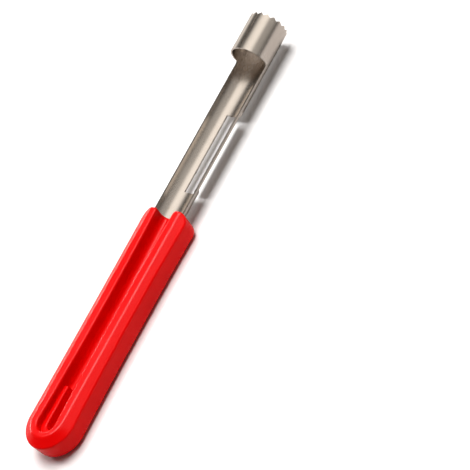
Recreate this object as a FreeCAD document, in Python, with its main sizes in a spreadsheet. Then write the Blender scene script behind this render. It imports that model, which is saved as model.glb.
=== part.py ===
"""Hand corer and peeler for apples: a one-piece stainless blade moulded into a plastic handle.

The blade is one rolled sheet. Its front is a closed coring tube with V teeth and a butt seam, and the
rest is an open trough with a peeling slot. The handle is one moulding that grips the trough's tang.

Each body is modelled with the tube's axis on X, the tooth tips at x = 0 and the tool running towards
-X, +Z up and the slot's cutting strip on the -Y side. Its Placement then puts the middle of the tool's
length at x = 0 and the flat underside of the handle at z = 0. All sizes are in millimetres.
"""
import FreeCAD, Part
import math
import os

import Sketcher

Vector = FreeCAD.Vector
UP = Vector(0, 0, 1)
X_AXIS = -1          # a sketch's own horizontal axis
ROOT = -1, 1         # a sketch's own origin point
START, END, CENTRE = 1, 2, 3

DIMENSIONS = {
    # the whole tool
    "overall_length": 215.9,
    "axis_height": 12.25,          # the tube's axis above the surface that the handle rests on
    # sheet, tube and trough
    "tube_diameter": 18.0,
    "sheet": 0.7,
    "ring_length": 19.6,
    "tooth_count": 18,
    "tooth_depth": 1.15,
    "tooth_flat": 0.12,           # width left at the tip of a tooth
    "seam_gap": 0.34,
    "trough_half_angle": 76.0,    # from the bottom of the trough to each of its edges
    "throat_fillet": 0.9,         # corner between the ring's rear edge and the trough's edge
    # peeling slot, measured from the tooth tips and round from the bottom of the trough
    "slot_front": 44.1,
    "slot_rear": 85.0,
    "slot_far_angle": 23.0,
    "strip_root_angle": 66.0,
    "strip_slit": 0.95,           # relief slit at each end of the cutting strip
    # cutting strip: the near wall pressed flat between the slits, seen in cross-section
    "strip_edge_side": 0.5,       # inner corner of its free edge, sideways from the axis
    "strip_edge_drop": 8.9,       # and below it
    "strip_slope": 38.5,
    "strip_width": 9.85,
    "strip_grind": 1.3,           # width of the ground bevel along the free edge
    # tang, inside the handle
    "tang_end": 172.0,
    "key_radius": 2.2,
    "key_front": 116.0,
    "key_rear": 150.0,
    # handle, plan view; the sides are slightly hollow and narrowest at the waist
    "handle_front": 98.6,
    "handle_corner": 5.2,
    "waist_place": 150.0,
    "waist_half_width": 12.2,
    "rear_half_width": 12.95,
    # handle, cross-section, heights measured from the tube's axis
    "crown_top": 0.35,            # flat land each side of the groove
    "ridge_half": 8.65,            # where the land turns down into the shoulder
    "ridge_round": 3.0,
    "shoulder_slope": 30.0,
    "wall_drop": 1.5,             # the drafted side walls start this far below the axis
    "wall_draft": 4.5,
    "underside_fillet": 3.6,
    "rim_fillet": 0.9,
    # groove in the handle
    "groove_waist_half": 3.95,
    "groove_rear_half": 5.0,
    "groove_end": 209.0,
    "groove_floor": 6.4,          # below the tube's axis
    "groove_floor_fillet": 2.4,
    "mouth_fillet": 1.6,          # where the groove comes out between the two lobes at the front
    # ledge round the rear of the groove, with a deeper slot down its middle
    "ledge_front": 186.0,
    "ledge_half": 2.2,
    "ledge_drop": 2.9,
    "ledge_fillet": 0.7,
}

doc = FreeCAD.newDocument("apple_peeler_corer")
sheet = doc.addObject("Spreadsheet::Sheet", "dims")
for row, (name, value) in enumerate(DIMENSIONS.items(), start=1):
    sheet.set("A%d" % row, name)
    sheet.set("B%d" % row, str(value))
    sheet.setAlias("B%d" % row, name)
doc.recompute()


def size(name):
    """A driving dimension, read back from the sheet."""
    return float(sheet.get(name))


def place_on_surface(thing):
    """Moves a body from the blade's own frame to the tool's frame."""
    thing.setExpression("Placement.Base.x", "dims.overall_length / 2")
    thing.setExpression("Placement.Base.z", "dims.axis_height")


def new_body(name):
    body = doc.addObject("PartDesign::Body", name)
    place_on_surface(body)
    return body


def new_sketch(body, name, role, offset="0", slide="0"):
    """A sketch on one of the body's own origin planes, offset along its normal and slid along its x."""
    sketch = body.newObject("Sketcher::SketchObject", name)
    plane = next(f for f in body.Origin.OriginFeatures if f.Role == role)
    sketch.AttachmentSupport = [(plane, "")]
    sketch.MapMode = "FlatFace"
    sketch.setExpression("AttachmentOffset.Base.z", offset.replace("d.", "dims."))
    sketch.setExpression("AttachmentOffset.Base.x", slide.replace("d.", "dims."))
    doc.recompute()
    return sketch


def fix(sketch, kind, first, second, name, formula):
    """Adds a horizontal or vertical distance between two sketch points and binds it to the sheet."""
    doc.recompute()
    points = [sketch.getPoint(*p) for p in (first, second)]
    gap = points[1] - points[0]
    value = gap.x if kind == "DistanceX" else gap.y
    index = sketch.addConstraint(Sketcher.Constraint(kind, *first, *second, value))
    sketch.renameConstraint(index, name)
    sketch.setExpression("Constraints." + name, formula.replace("d.", "dims."))


def fix_radius(sketch, geometry, name, formula):
    radius = sketch.Geometry[geometry].Radius
    index = sketch.addConstraint(Sketcher.Constraint("Radius", geometry, radius))
    sketch.renameConstraint(index, name)
    sketch.setExpression("Constraints." + name, formula.replace("d.", "dims."))


def add_polygon(sketch, points):
    """Closed outline of straight lines; returns the index of its first line."""
    first = len(sketch.Geometry)
    count = len(points)
    for i in range(count):
        ends = [Vector(*points[k % count], 0) for k in (i, i + 1)]
        sketch.addGeometry(Part.LineSegment(*ends), False)
    for i in range(count):
        after = first + (i + 1) % count
        sketch.addConstraint(Sketcher.Constraint("Coincident", first + i, END, after, START))
    return first


def add_arc(sketch, centre, radius, start, end):
    """Arc from one angle to another, anticlockwise, in degrees."""
    circle = Part.Circle(Vector(*centre, 0), UP, radius)
    return sketch.addGeometry(Part.ArcOfCircle(circle, math.radians(start), math.radians(end)), False)


def box_sketch(body, name, role, x_low, x_high, y_low, y_high, offset="0"):
    """Rectangle whose four sides are bound to formulas: x_low to x_high, and y_low to y_high."""
    sketch = new_sketch(body, name, role, offset)
    line = add_polygon(sketch, [(-2, -1), (-1, -1), (-1, 1), (-2, 1)])
    for index in (line, line + 2):
        sketch.addConstraint(Sketcher.Constraint("Horizontal", index))
    for index in (line + 1, line + 3):
        sketch.addConstraint(Sketcher.Constraint("Vertical", index))
    low_corner, high_corner = (line, START), (line + 1, END)
    fix(sketch, "DistanceX", ROOT, low_corner, "x_low", x_low)
    fix(sketch, "DistanceX", ROOT, high_corner, "x_high", x_high)
    fix(sketch, "DistanceY", ROOT, low_corner, "y_low", y_low)
    fix(sketch, "DistanceY", ROOT, high_corner, "y_high", y_high)
    return sketch


def remove(body, feature_type, name, sketch, **settings):
    """A pocket, checked to have taken material away."""
    before = body.Shape.Volume
    feature = body.newObject(feature_type, name)
    feature.Profile = sketch
    for prop, value in settings.items():
        setattr(feature, prop, value)
    doc.recompute()
    if body.Shape.Volume > before - 1e-3:
        raise ValueError(name + " cut nothing")
    return feature


def add_pad(body, name, sketch, length):
    pad = body.newObject("PartDesign::Pad", name)
    pad.Profile = sketch
    pad.setExpression("Length", length.replace("d.", "dims."))
    doc.recompute()
    return pad


def near(value, target, tolerance=0.05):
    return abs(value - target) < tolerance


def is_sharp(shape, edge):
    """Whether the two faces beside an edge meet at an angle there."""
    middle = edge.valueAt((edge.FirstParameter + edge.LastParameter) / 2)
    faces = shape.ancestorsOfType(edge, Part.Face)
    normals = [face.normalAt(*face.Surface.parameter(middle)) for face in faces]
    return len(normals) == 2 and normals[0].dot(normals[1]) < math.cos(math.radians(8))


def round_edges(body, name, radius, wanted):
    """Fillets those sharp edges of the body's last feature that wanted(edge) picks."""
    base = body.Tip
    shape = base.Shape
    picked = ["Edge%d" % (i + 1) for i, edge in enumerate(shape.Edges)
              if wanted(edge) and is_sharp(shape, edge)]
    fillet = body.newObject("PartDesign::Fillet", name)
    fillet.Base = (base, picked)
    fillet.setExpression("Radius", "dims." + radius)
    doc.recompute()
    return fillet


# ---------------------------------------------------------------- blade: tube, trough, slot and tang

def roll_tube(body):
    """The whole sheet as one closed tube, from the tooth tips to the end of the tang."""
    sketch = new_sketch(body, "TubeSection", "YZ_Plane", "-d.tang_end")
    for name, radius, formula in (
        ("outer", size("tube_diameter") / 2, "d.tube_diameter / 2"),
        ("inner", size("tube_diameter") / 2 - size("sheet"), "d.tube_diameter / 2 - d.sheet"),
    ):
        circle = sketch.addGeometry(Part.Circle(Vector(0, 0, 0), UP, radius), False)
        sketch.addConstraint(Sketcher.Constraint("Coincident", circle, CENTRE, *ROOT))
        fix_radius(sketch, circle, name, formula)
    add_pad(body, "Tube", sketch, "d.tang_end")


def open_trough(body):
    """Takes the top of the tube away behind the ring, with a rounded corner in the throat."""
    clear = size("tube_diameter")
    rear = -size("tang_end") - 1
    ring = -size("ring_length")
    half_angle = math.radians(size("trough_half_angle"))
    edge = -size("tube_diameter") / 2 * math.cos(half_angle)
    fillet = size("throat_fillet")
    sketch = new_sketch(body, "TroughOpening", "XZ_Plane")
    corners = [
        (rear, edge), (ring - fillet, edge), (ring, edge + fillet), (ring, clear), (rear, clear),
    ]
    lines = []
    for i, j in ((0, 1), (2, 3), (3, 4), (4, 0)):
        ends = Vector(*corners[i], 0), Vector(*corners[j], 0)
        lines.append(sketch.addGeometry(Part.LineSegment(*ends), False))
    floor, front, top, back = lines
    corner = add_arc(sketch, (ring - fillet, edge + fillet), fillet, 270, 360)
    for first, second in ((front, top), (top, back), (back, floor)):
        sketch.addConstraint(Sketcher.Constraint("Coincident", first, END, second, START))
    sketch.addConstraint(Sketcher.Constraint("Tangent", floor, END, corner, START))
    sketch.addConstraint(Sketcher.Constraint("Tangent", corner, END, front, START))
    sketch.addConstraint(Sketcher.Constraint("Horizontal", top))
    sketch.addConstraint(Sketcher.Constraint("Horizontal", floor))
    sketch.addConstraint(Sketcher.Constraint("Vertical", back))
    sketch.addConstraint(Sketcher.Constraint("Vertical", front))
    fix(sketch, "DistanceX", ROOT, (floor, START), "rear", "-d.tang_end - 1")
    fix(sketch, "DistanceX", ROOT, (front, START), "ring", "-d.ring_length")
    edge_height = "-d.tube_diameter / 2 * cos(d.trough_half_angle * 1 deg)"
    fix(sketch, "DistanceY", ROOT, (floor, START), "edge", edge_height)
    fix(sketch, "DistanceY", ROOT, (top, START), "clear", "d.tube_diameter")
    fix_radius(sketch, corner, "throat", "d.throat_fillet")
    remove(body, "PartDesign::Pocket", "Trough", sketch, Type="ThroughAll", Midplane=True)


def cut_teeth(body):
    """V notches round the mouth of the ring, one of them where the seam meets it."""
    beyond = 0.5
    sketch = new_sketch(body, "ToothNotch", "XY_Plane")
    line = add_polygon(sketch, [(-1, 0), (beyond, -1.5), (beyond, 1.5)])
    depth = size("tooth_depth")
    sketch.addConstraint(Sketcher.Constraint("PointOnObject", line, START, X_AXIS))
    sketch.addConstraint(Sketcher.Constraint("Symmetric", line + 1, START, line + 1, END, X_AXIS))
    fix(sketch, "DistanceX", ROOT, (line, START), "root", "-d.tooth_depth")
    fix(sketch, "DistanceX", ROOT, (line + 1, START), "mouth", "%g" % beyond)
    pitch = "(pi * d.tube_diameter / d.tooth_count - d.tooth_flat)"
    fix(sketch, "DistanceY", (line + 1, START), (line + 1, END), "width",
        "%s * %g" % (pitch, 1 + beyond / depth))
    notch = remove(body, "PartDesign::Pocket", "Notch", sketch, Length=size("tube_diameter"))
    teeth = body.newObject("PartDesign::PolarPattern", "Teeth")
    teeth.Originals = [notch]
    axis = next(f for f in body.Origin.OriginFeatures if f.Role == "X_Axis")
    teeth.Axis = (axis, [""])
    teeth.Angle = 360
    teeth.setExpression("Occurrences", "dims.tooth_count")
    body.Tip = teeth
    doc.recompute()


def cut_seam(body):
    """The butt seam along the top of the ring, where the two sides of the sheet meet."""
    sketch = box_sketch(body, "SeamGap", "XY_Plane", "-d.ring_length - 1", "1",
                        "-d.seam_gap / 2", "d.seam_gap / 2")
    remove(body, "PartDesign::Pocket", "Seam", sketch, Length=size("tube_diameter"), Reversed=True)


def cut_window(body):
    """The peeling slot, with the wall beside it taken out for the cutting strip that replaces it."""
    inner = "(d.tube_diameter / 2 - d.sheet)"
    sketch = box_sketch(body, "Window", "XY_Plane", "-d.slot_rear", "-d.slot_front",
                        "-d.tube_diameter / 2 * sin(d.strip_root_angle * 1 deg)",
                        inner + " * sin(d.slot_far_angle * 1 deg)")
    remove(body, "PartDesign::Pocket", "Slot", sketch, Length=size("tube_diameter"))


def cut_key_holes(body):
    """Two holes through the tang's floor, which the handle's plastic fills."""
    sketch = new_sketch(body, "KeyHoles", "XY_Plane")
    for name in ("key_front", "key_rear"):
        centre = Vector(-size(name), 0, 0)
        hole = sketch.addGeometry(Part.Circle(centre, UP, size("key_radius")), False)
        sketch.addConstraint(Sketcher.Constraint("PointOnObject", hole, CENTRE, X_AXIS))
        fix_radius(sketch, hole, name + "_radius", "d.key_radius")
        fix(sketch, "DistanceX", ROOT, (hole, CENTRE), name, "-d." + name)
    remove(body, "PartDesign::Pocket", "Keys", sketch, Length=size("tube_diameter"))


def add_strip(body):
    """The cutting strip: a flat plate hung from the trough's rail, with its free edge ground sharp."""
    sketch = new_sketch(body, "StripSection", "YZ_Plane", "-d.slot_rear + d.strip_slit")
    side = "-d.strip_edge_side"
    drop = "-d.strip_edge_drop"
    cosine = "cos(d.strip_slope * 1 deg)"
    sine = "sin(d.strip_slope * 1 deg)"
    # name, distance up the strip, distance out through its thickness
    corners = [
        ("edge", "0", "d.sheet"),
        ("root_out", "d.strip_width", "d.sheet"),
        ("root_in", "d.strip_width", "0"),
        ("grind", "d.strip_grind", "0"),
    ]
    lean = math.radians(size("strip_slope"))
    start = Vector(-size("strip_edge_side"), -size("strip_edge_drop"), 0)
    up = Vector(-math.cos(lean), math.sin(lean), 0)
    out = Vector(-math.sin(lean), -math.cos(lean), 0)
    reach = [(0, 1), (size("strip_width"), 1), (size("strip_width"), 0), (size("strip_grind"), 0)]
    points = [start + up * far + out * (deep * size("sheet")) for far, deep in reach]
    line = add_polygon(sketch, [(p.x, p.y) for p in points])
    for index, (name, far, deep) in enumerate(corners):
        corner = (line + index, START)
        fix(sketch, "DistanceX", ROOT, corner, name + "_y",
            "%s - %s * %s - %s * %s" % (side, far, cosine, deep, sine))
        fix(sketch, "DistanceY", ROOT, corner, name + "_z",
            "%s + %s * %s - %s * %s" % (drop, far, sine, deep, cosine))
    add_pad(body, "Strip", sketch, "d.slot_rear - d.slot_front - 2 * d.strip_slit")


def make_blade():
    body = new_body("Blade")
    roll_tube(body)
    open_trough(body)
    cut_teeth(body)
    cut_seam(body)
    cut_window(body)
    add_strip(body)
    cut_key_holes(body)
    body.Label = "blade"
    doc.recompute()
    return body


# ---------------------------------------------------------------- handle

def waisted(end, radius, waist):
    """Plan with a round rear end and two slightly hollow sides that pass the waist and touch it.

    Returns the rear centre, the sides' radius, the left side's centre and the lean where they touch.
    """
    rear = Vector(size(radius) - size(end), 0, 0)
    half = size(waist)
    run = rear.x + size("waist_place")
    side = (run ** 2 + half ** 2 - size(radius) ** 2) / (2 * (size(radius) - half))
    centre = Vector(-size("waist_place"), half + side, 0)
    return rear, side, centre, math.degrees(math.atan2(-run, centre.y))


def add_waisted(sketch, end, radius, waist, turn):
    """Adds the rear arc and both sides, which run on to the angle turn past the waist."""
    rear, side, centre, lean = waisted(end, radius, waist)
    cap = add_arc(sketch, (rear.x, 0), size(radius), 90 - lean, 270 + lean)
    left = add_arc(sketch, (centre.x, centre.y), side, 270 - lean, 270 + turn)
    right = add_arc(sketch, (centre.x, -centre.y), side, 90 - turn, 90 + lean)
    sketch.addConstraint(Sketcher.Constraint("Tangent", cap, START, left, START))
    sketch.addConstraint(Sketcher.Constraint("Tangent", right, END, cap, END))
    sketch.addConstraint(Sketcher.Constraint("PointOnObject", cap, CENTRE, X_AXIS))
    sketch.addConstraint(Sketcher.Constraint("Symmetric", left, CENTRE, right, CENTRE, X_AXIS))
    fix_radius(sketch, cap, "rear_radius", "d." + radius)
    run = "(d.%s - d.%s - d.waist_place)" % (end, radius)
    fix_radius(sketch, left, "side", "(%s^2 + d.%s^2 - d.%s^2) / (2 * (d.%s - d.%s))" % (
        run, waist, radius, radius, waist))
    fix(sketch, "DistanceX", ROOT, (cap, CENTRE), "rear", "-(d.%s - d.%s)" % (end, radius))
    fix(sketch, "DistanceX", ROOT, (left, CENTRE), "waist", "-d.waist_place")
    return left, right


def pad_handle(body):
    """The outer shape in plan: drafted walls going down, and straight ones up for the crown."""
    _, side, centre, _ = waisted("overall_length", "rear_half_width", "waist_half_width")
    corner = size("handle_corner")
    front = -size("handle_front")
    corner_x = front - corner
    corner_y = centre.y - math.sqrt((side + corner) ** 2 - (corner_x - centre.x) ** 2)
    turn = math.degrees(math.atan2(corner_x - centre.x, centre.y - corner_y))
    sketch = new_sketch(body, "PlanOutline", "XY_Plane", "-d.wall_drop")
    left, right = add_waisted(sketch, "overall_length", "rear_half_width", "waist_half_width", turn)
    left_corner = add_arc(sketch, (corner_x, corner_y), corner, 0, 90 + turn)
    ends = Vector(front, corner_y, 0), Vector(front, -corner_y, 0)
    face = sketch.addGeometry(Part.LineSegment(*ends), False)
    right_corner = add_arc(sketch, (corner_x, -corner_y), corner, 270 - turn, 360)
    for first, second in (
        ((left, END), (left_corner, END)),
        ((left_corner, START), (face, START)),
        ((face, END), (right_corner, END)),
        ((right_corner, START), (right, START)),
    ):
        sketch.addConstraint(Sketcher.Constraint("Tangent", *first, *second))
    sketch.addConstraint(Sketcher.Constraint("Vertical", face))
    sketch.addConstraint(Sketcher.Constraint("Equal", left_corner, right_corner))
    fix_radius(sketch, left_corner, "corner", "d.handle_corner")
    fix(sketch, "DistanceX", ROOT, (face, START), "front", "-d.handle_front")
    add_pad(body, "CrownBlank", sketch, "d.wall_drop + d.crown_top")
    walls = add_pad(body, "Walls", sketch, "d.axis_height - d.wall_drop")
    walls.Reversed = True
    walls.setExpression("TaperAngle", "-dims.wall_draft")
    doc.recompute()


def add_slope(sketch, sign, tag):
    """Outline of what is cut above a shoulder: land, rounded ridge and slope, on one side."""
    ridge = size("ridge_half")
    radius = size("ridge_round")
    slope = size("shoulder_slope")
    top = size("crown_top")
    reach = size("rear_half_width") + 3
    clear = top + 2
    middle = ridge - radius * math.tan(math.radians(slope / 2))
    low = top - (reach - ridge) * math.tan(math.radians(slope))
    swing = math.radians(slope)
    turned = Vector(sign * (middle + radius * math.sin(swing)), top - radius + radius * math.cos(swing), 0)
    if sign > 0:
        arc = add_arc(sketch, (middle, top - radius), radius, 90 - slope, 90)
        slope_end, flat_end = START, END
    else:
        arc = add_arc(sketch, (-middle, top - radius), radius, 90, 90 + slope)
        slope_end, flat_end = END, START
    points = [turned, Vector(sign * reach, low, 0), Vector(sign * reach, clear, 0),
              Vector(sign * middle, clear, 0), Vector(sign * middle, top, 0)]
    lines = add_lines(sketch, points)
    sketch.addConstraint(Sketcher.Constraint("Tangent", arc, slope_end, lines[0], START))
    sketch.addConstraint(Sketcher.Constraint("Coincident", lines[3], END, arc, flat_end))
    for index, kind in zip(lines[1:], ("Vertical", "Horizontal", "Vertical")):
        sketch.addConstraint(Sketcher.Constraint(kind, index))
    fix_radius(sketch, arc, tag + "ridge_round", "d.ridge_round")
    minus = "" if sign > 0 else "-"
    fix(sketch, "DistanceX", ROOT, (arc, CENTRE), tag + "middle",
        minus + "(d.ridge_half - d.ridge_round * tan(d.shoulder_slope * 0.5 deg))")
    fix(sketch, "DistanceY", ROOT, (arc, CENTRE), tag + "centre", "d.crown_top - d.ridge_round")
    sketch.addConstraint(Sketcher.Constraint("Vertical", arc, flat_end, arc, CENTRE))
    fix(sketch, "DistanceX", ROOT, (lines[1], START), tag + "reach", minus + "(d.rear_half_width + 3)")
    fix(sketch, "DistanceY", ROOT, (lines[1], START), tag + "low",
        "d.crown_top - (d.rear_half_width + 3 - d.ridge_half) * tan(d.shoulder_slope * 1 deg)")
    fix(sketch, "DistanceY", ROOT, (lines[2], START), tag + "clear", "d.crown_top + 2")


def crown_handle(body):
    """Cuts the sloping shoulders along both sides and round the rear end."""
    sides = new_sketch(body, "SideSlopes", "YZ_Plane")
    add_slope(sides, 1, "left_")
    add_slope(sides, -1, "right_")
    remove(body, "PartDesign::Pocket", "SideShoulders", sides, Type="ThroughAll", Midplane=True)
    rear = new_sketch(body, "RearSlope", "XZ_Plane", slide="-(d.overall_length - d.rear_half_width)")
    add_slope(rear, -1, "rear_")
    remove(body, "PartDesign::Groove", "RearShoulder", rear, ReferenceAxis=(rear, ["V_Axis"]),
           Angle=180, Midplane=True)


def add_lines(sketch, points):
    """A chain of straight lines through the points; returns their indices."""
    lines = []
    for ends in zip(points, points[1:]):
        lines.append(sketch.addGeometry(Part.LineSegment(*ends), False))
    for first, second in zip(lines, lines[1:]):
        sketch.addConstraint(Sketcher.Constraint("Coincident", first, END, second, START))
    return lines


def cut_groove(body):
    """The long groove with a hollow floor, open at the front."""
    _, side, centre, _ = waisted("groove_end", "groove_rear_half", "groove_waist_half")
    open_x = 1 - size("handle_front")
    turn = math.degrees(math.asin((open_x - centre.x) / side))
    open_y = centre.y - side * math.cos(math.radians(turn))
    sketch = new_sketch(body, "GroovePlan", "XY_Plane", "d.crown_top")
    left, right = add_waisted(sketch, "groove_end", "groove_rear_half", "groove_waist_half", turn)
    mouth = add_lines(sketch, [Vector(open_x, open_y, 0), Vector(open_x, -open_y, 0)])[0]
    sketch.addConstraint(Sketcher.Constraint("Coincident", left, END, mouth, START))
    sketch.addConstraint(Sketcher.Constraint("Coincident", mouth, END, right, START))
    sketch.addConstraint(Sketcher.Constraint("Vertical", mouth))
    fix(sketch, "DistanceX", ROOT, (mouth, START), "open", "1 - d.handle_front")
    groove = remove(body, "PartDesign::Pocket", "Channel", sketch,
                    Length=size("crown_top") + size("groove_floor"))
    groove.setExpression("Length", "dims.crown_top + dims.groove_floor")
    doc.recompute()
    floor = -size("groove_floor")
    round_edges(body, "FloorHollow", "groove_floor_fillet",
                lambda edge: near(edge.BoundBox.ZMin, floor) and near(edge.BoundBox.ZMax, floor)
                and edge.BoundBox.XLength > 1)


def round_handle(body):
    """Rounds the moulding: the groove's mouth, the underside and the top edges."""
    bottom = -size("axis_height")
    front = -size("handle_front")
    hollow = -size("groove_floor")

    def mouth_edge(edge):
        box = edge.BoundBox
        across = max(abs(box.YMin), abs(box.YMax))
        inside = across < size("groove_rear_half") + 0.3
        return near(box.XMin, front) and near(box.XMax, front) and inside and hollow - 0.1 < box.ZMin < 0

    def underside(edge):
        box = edge.BoundBox
        return near(box.ZMin, bottom) and near(box.ZMax, bottom)

    def top_edge(edge):
        return edge.BoundBox.ZMin > -size("wall_drop") - 1.5

    round_edges(body, "MouthRound", "mouth_fillet", mouth_edge)
    round_edges(body, "UndersideRound", "underside_fillet", underside)
    round_edges(body, "RimRound", "rim_fillet", top_edge)


def add_ledge(body):
    """The ledge round the groove's rear end; its outer edges are buried in the moulding."""
    rear = Vector(size("groove_rear_half") - size("groove_end"), 0, 0)
    half = size("ledge_half")
    front = -size("ledge_front")
    buried_half = size("groove_rear_half") + 1
    buried_rear = -size("groove_end") - 1
    top = -size("ledge_drop")
    sketch = new_sketch(body, "LedgePlan", "XY_Plane", "-d.groove_floor - 0.5")
    cap = add_arc(sketch, (rear.x, 0), half, 90, 270)
    chain = [Vector(rear.x, half, 0), Vector(front, half, 0), Vector(front, buried_half, 0),
             Vector(buried_rear, buried_half, 0), Vector(buried_rear, -buried_half, 0),
             Vector(front, -buried_half, 0), Vector(front, -half, 0), Vector(rear.x, -half, 0)]
    lines = add_lines(sketch, chain)
    sketch.addConstraint(Sketcher.Constraint("Tangent", cap, START, lines[0], START))
    sketch.addConstraint(Sketcher.Constraint("Tangent", lines[6], END, cap, END))
    for index, kind in zip(lines, ("Horizontal", "Vertical", "Horizontal", "Vertical", "Horizontal",
                                   "Vertical")):
        sketch.addConstraint(Sketcher.Constraint(kind, index))
    fix_radius(sketch, cap, "slot", "d.ledge_half")
    fix(sketch, "DistanceX", ROOT, (cap, CENTRE), "rear", "-(d.groove_end - d.groove_rear_half)")
    fix(sketch, "DistanceY", ROOT, (cap, CENTRE), "middle", "0")
    fix(sketch, "DistanceX", ROOT, (lines[0], END), "front", "-d.ledge_front")
    fix(sketch, "DistanceX", ROOT, (lines[5], END), "right_front", "-d.ledge_front")
    fix(sketch, "DistanceY", ROOT, (lines[1], END), "left_side", "d.groove_rear_half + 1")
    fix(sketch, "DistanceX", ROOT, (lines[2], END), "buried", "-d.groove_end - 1")
    fix(sketch, "DistanceY", ROOT, (lines[4], START), "right_side", "-(d.groove_rear_half + 1)")
    add_pad(body, "Ledge", sketch, "d.groove_floor + 0.5 - d.ledge_drop")

    def inner_edge(edge):
        box = edge.BoundBox
        across = max(abs(box.YMin), abs(box.YMax))
        return near(box.ZMin, top) and near(box.ZMax, top) and across < half + 0.05

    round_edges(body, "LedgeRound", "ledge_fillet", inner_edge)


def make_handle(blade):
    body = new_body("HandleMoulding")
    pad_handle(body)
    crown_handle(body)
    cut_groove(body)
    round_handle(body)
    add_ledge(body)
    # The blade's tang is moulded in, so the plastic is cut back to the sheet's own faces.
    handle = doc.addObject("Part::Cut", "Handle")
    handle.Base = body
    handle.Tool = blade
    handle.Label = "handle"
    doc.recompute()
    return handle


def check(parts):
    """Stops before anything is written if a feature failed or a shape is not one sound solid."""
    doc.recompute()
    for thing in doc.Objects:
        if "Invalid" in thing.State or "Error" in thing.State:
            raise ValueError("%s failed: %s" % (thing.Name, thing.State))
    for part in parts:
        shape = part.Shape
        if shape.isNull() or not shape.isValid() or len(shape.Solids) != 1:
            raise ValueError("%s is not one valid solid" % part.Label)


def write(parts):
    os.makedirs("parts", exist_ok=True)
    for part in parts:
        part.Shape.exportStep(os.path.join("parts", part.Label + ".step"))
        box = part.Shape.BoundBox
        print("%-8s %8.1f mm3  x %.2f..%.2f  y %.2f..%.2f  z %.2f..%.2f" % (
            part.Label, part.Shape.Volume, box.XMin, box.XMax, box.YMin, box.YMax, box.ZMin, box.ZMax))


blade = make_blade()
handle = make_handle(blade)
check([blade, handle])
write([blade, handle])
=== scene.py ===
"""Hand apple corer and peeler: a rolled stainless blade in a glossy red moulded handle."""

import math

import bpy
from mathutils import Matrix, Vector


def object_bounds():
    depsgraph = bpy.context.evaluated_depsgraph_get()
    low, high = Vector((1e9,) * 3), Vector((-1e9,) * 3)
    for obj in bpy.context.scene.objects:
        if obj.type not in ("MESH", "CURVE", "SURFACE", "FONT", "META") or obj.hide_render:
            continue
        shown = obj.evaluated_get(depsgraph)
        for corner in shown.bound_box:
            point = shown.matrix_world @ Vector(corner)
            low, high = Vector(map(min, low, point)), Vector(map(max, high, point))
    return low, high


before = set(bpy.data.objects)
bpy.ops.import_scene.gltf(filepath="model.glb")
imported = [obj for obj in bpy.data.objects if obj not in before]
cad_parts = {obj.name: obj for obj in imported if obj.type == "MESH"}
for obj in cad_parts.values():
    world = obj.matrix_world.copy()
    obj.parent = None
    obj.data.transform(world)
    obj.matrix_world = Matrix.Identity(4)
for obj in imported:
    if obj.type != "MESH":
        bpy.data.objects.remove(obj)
cad_bounds = [list(corner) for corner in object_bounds()]
scene = bpy.context.scene


def plug(tree, value, socket):
    """Link a socket's output, or set a plain value."""
    if isinstance(value, bpy.types.NodeSocket):
        tree.links.new(value, socket)
    else:
        socket.default_value = value


# ------------------------------------------------------------------ node helpers

class Nodes:
    """A short way to write a material's node tree."""

    def __init__(self, name):
        self.material = bpy.data.materials.new(name)
        self.material.use_nodes = True
        self.tree = self.material.node_tree
        self.tree.nodes.clear()
        self.out = self.tree.nodes.new("ShaderNodeOutputMaterial")
        self.shader = self.tree.nodes.new("ShaderNodeBsdfPrincipled")
        self.link(self.shader.outputs["BSDF"], self.out.inputs["Surface"])

    def link(self, source, target):
        self.tree.links.new(source, target)

    def set(self, **values):
        for name, value in values.items():
            self.shader.inputs[name.replace("_", " ")].default_value = value

    def node(self, kind, inputs=None, **settings):
        node = self.tree.nodes.new("ShaderNode" + kind)
        for name, value in settings.items():
            setattr(node, name, value)
        for name, value in (inputs or {}).items():
            plug(self.tree, value, node.inputs[name])
        return node

    def position(self, scale=(1, 1, 1)):
        coord = self.node("TexCoord")
        mapping = self.node("Mapping", {"Vector": coord.outputs["Object"]})
        mapping.inputs["Scale"].default_value = scale
        return mapping.outputs["Vector"]

    def noise(self, vector, scale, detail=4.0, roughness=0.55):
        return self.node("TexNoise", {
            "Vector": vector, "Scale": scale, "Detail": detail, "Roughness": roughness,
        }).outputs["Fac"]

    def ramp(self, value, low, high, to_low=0.0, to_high=1.0):
        return self.node("MapRange", {
            "Value": value, "From Min": low, "From Max": high, "To Min": to_low, "To Max": to_high,
        }).outputs["Result"]

    def mix(self, factor, first, second):
        node = self.node("Mix", data_type="RGBA")
        for index, value in ((0, factor), (6, first), (7, second)):
            plug(self.tree, value, node.inputs[index])
        return node.outputs[2]

    def math(self, operation, first, second):
        node = self.node("Math", operation=operation)
        for index, value in enumerate((first, second)):
            plug(self.tree, value, node.inputs[index])
        return node.outputs[0]

    def bump(self, height, strength, distance):
        inputs = {"Height": height, "Strength": strength, "Distance": distance}
        return self.node("Bump", inputs).outputs["Normal"]


# ------------------------------------------------------------------ materials

STEEL_DULL = (0.61, 0.555, 0.505, 1)
STEEL_CLEAN = (0.69, 0.630, 0.575, 1)
STEEL_SPECK = (0.42, 0.37, 0.32, 1)
SPECK_SHOW = 0.25
RED_DEEP = (0.70, 0.0012, 0.0012, 1)
RED_BRIGHT = (0.75, 0.0016, 0.0015, 1)
PAPER_GREY = (0.93, 0.925, 0.93, 1)
PAPER_PALE = (0.95, 0.945, 0.95, 1)
# painted shade: a darker paper colour that only reflections see, standing in for the paper's shade
PAPER_SHADE_IN_REFLECTIONS = (0.54, 0.515, 0.50, 1)    # what the steel and the plastic see of the paper


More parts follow.
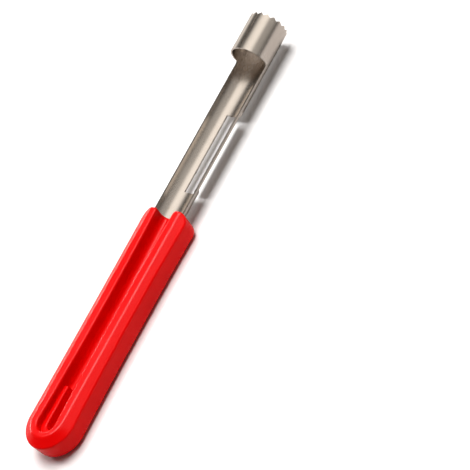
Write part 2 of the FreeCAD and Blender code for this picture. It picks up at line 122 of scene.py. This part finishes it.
def steel():
    """Satin rolled sheet: fine lines along the blade, faint cloudy wear and small specks."""
    m = Nodes("satin_stainless")
    m.set(Metallic=1.0, IOR=2.5)
    lines = m.noise(m.position(scale=(1, 16, 16)), 700, detail=6, roughness=0.7)
    cloud = m.noise(m.position(), 55, detail=3)
    specks = m.ramp(m.noise(m.position(), 420, detail=1), 0.70, 0.78)
    worn = m.mix(m.ramp(cloud, 0.35, 0.65), STEEL_DULL, STEEL_CLEAN)
    colour = m.mix(m.math("MULTIPLY", specks, SPECK_SHOW), worn, STEEL_SPECK)
    m.link(colour, m.shader.inputs["Base Color"])
    rough = m.math("ADD", m.ramp(cloud, 0.3, 0.7, 0.23, 0.30), m.ramp(lines, 0.3, 0.8, -0.03, 0.06))
    m.link(rough, m.shader.inputs["Roughness"])
    m.link(m.bump(lines, 0.06, 0.00002), m.shader.inputs["Normal"])
    return m.material


def red_plastic():
    """Glossy moulding: deep even red, a very slight orange-peel surface and finely scuffed gloss."""
    m = Nodes("gloss_red_moulding")
    m.set(Metallic=0.0, IOR=1.45, Specular_IOR_Level=0.10)
    cloud = m.noise(m.position(), 45, detail=3)
    colour = m.mix(m.ramp(cloud, 0.35, 0.65), RED_DEEP, RED_BRIGHT)
    m.link(colour, m.shader.inputs["Base Color"])
    scuff = m.noise(m.position(scale=(1, 5, 5)), 900, detail=4)
    rough = m.math("ADD", m.ramp(cloud, 0.3, 0.7, 0.20, 0.26), m.ramp(scuff, 0.45, 0.75, 0.0, 0.05))
    m.link(rough, m.shader.inputs["Roughness"])
    peel = m.noise(m.position(), 380, detail=1)
    m.link(m.bump(peel, 0.05, 0.00004), m.shader.inputs["Normal"])
    return m.material


def floor_paper():
    """Pale paper, lit past white; where the steel and the plastic reflect it, a darker painted colour
    stands in for its shade.
    """
    m = Nodes("pale_floor")
    m.set(Roughness=0.9, Specular_IOR_Level=0.0)
    cloud = m.noise(m.position(), 6, detail=2)
    paper = m.mix(cloud, PAPER_GREY, PAPER_PALE)
    glossy = m.node("LightPath").outputs["Is Glossy Ray"]
    # painted shade: glossy rays get the darker paper colour, so the paper looks shaded in reflections
    # only
    m.link(m.mix(glossy, paper, PAPER_SHADE_IN_REFLECTIONS), m.shader.inputs["Base Color"])
    return m.material


for name, material in (("blade", steel()), ("handle", red_plastic())):
    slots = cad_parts[name].data.materials
    slots.clear()
    slots.append(material)


# ------------------------------------------------------------------ floor, light and camera

FLOOR_REACH = 6.0
FLOOR_GAP = 0.0002               # keeps the floor's face clear of the handle's underside

corners = [(x * FLOOR_REACH, y * FLOOR_REACH, 0) for x, y in ((-1, -1), (1, -1), (1, 1), (-1, 1))]
floor_mesh = bpy.data.meshes.new("studio_floor")
floor_mesh.from_pydata(corners, [], [(0, 1, 2, 3)])
floor = bpy.data.objects.new("studio_floor", floor_mesh)
floor.location.z = -FLOOR_GAP
scene.collection.objects.link(floor)
floor.data.materials.append(floor_paper())

SOFTBOX = (0.34, -0.10, 0.93)    # direction of the softbox that the gloss reflects
SOFTBOX_EDGE = (34, 6)           # degrees from its centre where it starts and is full
SOFTBOX_LEVEL = 1.25
WALL_LEVEL = 1.2
NEAR_LEVEL = 0.40
ROOM_LEVEL = 0.13                # the rest of the room, in reflections
FILL_LEVEL = 0.07                # even light on the surfaces
ROOM_COLOUR = (1.0, 0.955, 0.89, 1)


def studio_world():
    """Dim even fill for the surfaces, and for reflections a room with an overhead softbox.

    The reflected room is made of bands by direction: a softbox high up towards the tip's end, a
    pale wall low on the far side of the tool, and a greyer room on the side that faces the camera.
    """
    world = bpy.data.worlds.new("studio")
    world.use_nodes = True
    tree = world.node_tree
    background = tree.nodes["Background"]

    def node(kind, **settings):
        made = tree.nodes.new("ShaderNode" + kind)
        for key, value in settings.items():
            setattr(made, key, value)
        return made

    def combine(operation, first, second):
        made = node("Math", operation=operation)
        plug(tree, first, made.inputs[0])
        plug(tree, second, made.inputs[1])
        return made.outputs[0]

    def band(value, low, high):
        made = node("MapRange", interpolation_type="SMOOTHSTEP")
        plug(tree, value, made.inputs["Value"])
        made.inputs["From Min"].default_value = low
        made.inputs["From Max"].default_value = high
        return made.outputs["Result"]

    direction = node("TexCoord").outputs["Generated"]
    parts = node("SeparateXYZ")
    tree.links.new(direction, parts.inputs[0])
    across, height = parts.outputs["Y"], parts.outputs["Z"]
    toward = node("VectorMath", operation="DOT_PRODUCT")
    tree.links.new(direction, toward.inputs[0])
    toward.inputs[1].default_value = Vector(SOFTBOX).normalized()
    cosines = [math.cos(math.radians(angle)) for angle in SOFTBOX_EDGE]
    softbox = band(toward.outputs["Value"], *cosines)
    far_wall = combine("MULTIPLY", band(across, 0.35, 0.75), band(height, 0.42, 0.10))
    near_room = combine("MULTIPLY", band(across, 0.15, -0.75), band(height, 0.0, 0.55))
    room = combine("ADD", ROOM_LEVEL, combine("MULTIPLY", softbox, SOFTBOX_LEVEL))
    room = combine("ADD", room, combine("MULTIPLY", far_wall, WALL_LEVEL))
    room = combine("ADD", room, combine("MULTIPLY", near_room, NEAR_LEVEL))
    rays = node("LightPath")
    seen = combine("MULTIPLY", rays.outputs["Is Glossy Ray"], room)
    fill = combine("MULTIPLY", combine("SUBTRACT", 1.0, rays.outputs["Is Glossy Ray"]), FILL_LEVEL)
    tree.links.new(combine("ADD", seen, fill), background.inputs["Strength"])
    background.inputs["Color"].default_value = ROOM_COLOUR
    return world


scene.world = studio_world()


def area_light(name, place, width, height, power, colour=(1, 1, 1)):
    """A rectangular lamp at a place, facing the object."""
    data = bpy.data.lights.new(name, "AREA")
    data.shape = "RECTANGLE"
    data.size = width
    data.size_y = height
    data.energy = power
    data.color = colour
    light = bpy.data.objects.new(name, data)
    light.location = place
    light.rotation_euler = (-Vector(place)).to_track_quat("-Z", "Y").to_euler()
    scene.collection.objects.link(light)
    return light


WARM_WHITE = (1.0, 0.985, 0.97)
for name, place, side, power in (
    ("overhead", (0.31, 0.0, 1.16), 0.80, 21.0),
    ("behind", (0.0, 1.04, 0.60), 0.35, 4.6),
):
    lamp = area_light(name, place, side, side, power, WARM_WHITE)
    lamp.visible_glossy = False      # the gloss reflects the studio's softbox instead

only_handle = bpy.data.collections.new("only_handle")
only_handle.objects.link(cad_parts["handle"])

STRIP_DISTANCE = 1.5
STRIP_LENGTH = 1.6


def gloss_strip(name, direction, width, power):
    """A long narrow lamp that only draws a highlight along the handle's rounded edges."""
    place = Vector(direction).normalized() * STRIP_DISTANCE
    strip = area_light(name, place, STRIP_LENGTH, width, power)
    strip.visible_diffuse = False
    strip.light_linking.receiver_collection = only_handle


gloss_strip("ridge_strip", (0.338, 0.235, 0.910), 0.16, 37.0)
gloss_strip("lip_strip", (0.338, 0.907, 0.253), 0.22, 27.0)

LENS_MM = 170.8
CAMERA_RIGHT = (0.44925, -0.74034, -0.50008)
CAMERA_FORWARD = (0.33787, 0.65896, -0.67203)
CAMERA_FROM_TIP = (-0.41455, -0.6473, 0.6280)    # from the tip's end, in the middle of the rest plane

tip_x = cad_bounds[1][0]
place = Vector(CAMERA_FROM_TIP) + Vector((tip_x, 0, 0))
right = Vector(CAMERA_RIGHT).normalized()
forward = Vector(CAMERA_FORWARD).normalized()
turn = Matrix((right, right.cross(forward), -forward)).transposed().to_4x4()

camera_data = bpy.data.cameras.new("camera")
camera_data.sensor_width = 36
camera_data.lens = LENS_MM
camera_data.clip_end = 50
camera = bpy.data.objects.new("camera", camera_data)
camera.matrix_world = Matrix.Translation(place) @ turn
scene.collection.objects.link(camera)
scene.camera = camera

scene.view_settings.view_transform = "Standard"
